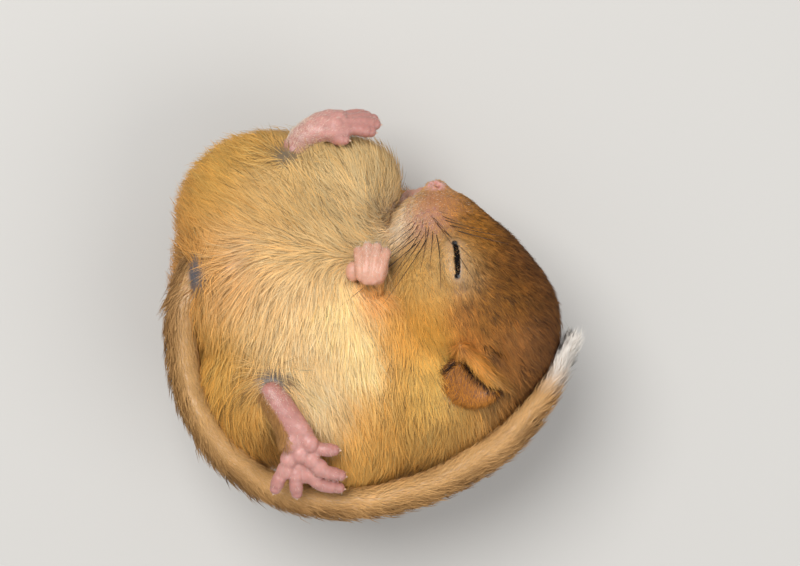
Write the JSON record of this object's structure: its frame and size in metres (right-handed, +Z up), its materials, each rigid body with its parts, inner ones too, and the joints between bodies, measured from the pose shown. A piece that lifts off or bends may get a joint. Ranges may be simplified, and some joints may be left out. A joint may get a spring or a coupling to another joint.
{
  "type": "hazel dormouse",
  "caption": "A life-size hazel dormouse asleep on its back, curled into a ball with the belly up, the paws at its chin and the bushy tail wrapped round its body.",
  "frame": {"origin": "on the floor, under the middle of the animal's bounding box seen from above, with Z up", "axes": "+X to the crown of the head, +Y to the nose end, +Z up, away from the floor, towards the belly and the left cheek"},
  "size_m": [0.0533, 0.0538, 0.0296],
  "materials": {
    "back_fur": "short dense golden orange to brown fur",
    "belly_fur": "short dense cream fur",
    "tail_fur": "bushy brown fur of even length",
    "bare_skin": "soft moist pink skin",
    "ear_skin": "thin brown skin with fine hairs",
    "eyelid": "dark lid edges in pale short fur"
  },
  "bodies": {
    "root": {"trunk": "belly_fur", "neck": "back_fur", "head": "back_fur", "nose": "bare_skin", "eye_left": "eyelid", "eye_right": "eyelid", "ear_left": "ear_skin", "ear_right": "ear_skin", "foreleg_left": "back_fur", "foreleg_right": "back_fur", "paw_left": "bare_skin", "paw_right": "bare_skin", "hindleg_left": "back_fur", "hindleg_right": "back_fur", "foot_left": "bare_skin", "foot_right": "bare_skin", "tail_base": "tail_fur", "tail_middle": "tail_fur", "tail_end": "tail_fur", "tail_tuft": "tail_fur"}
  },
  "joints": []
}
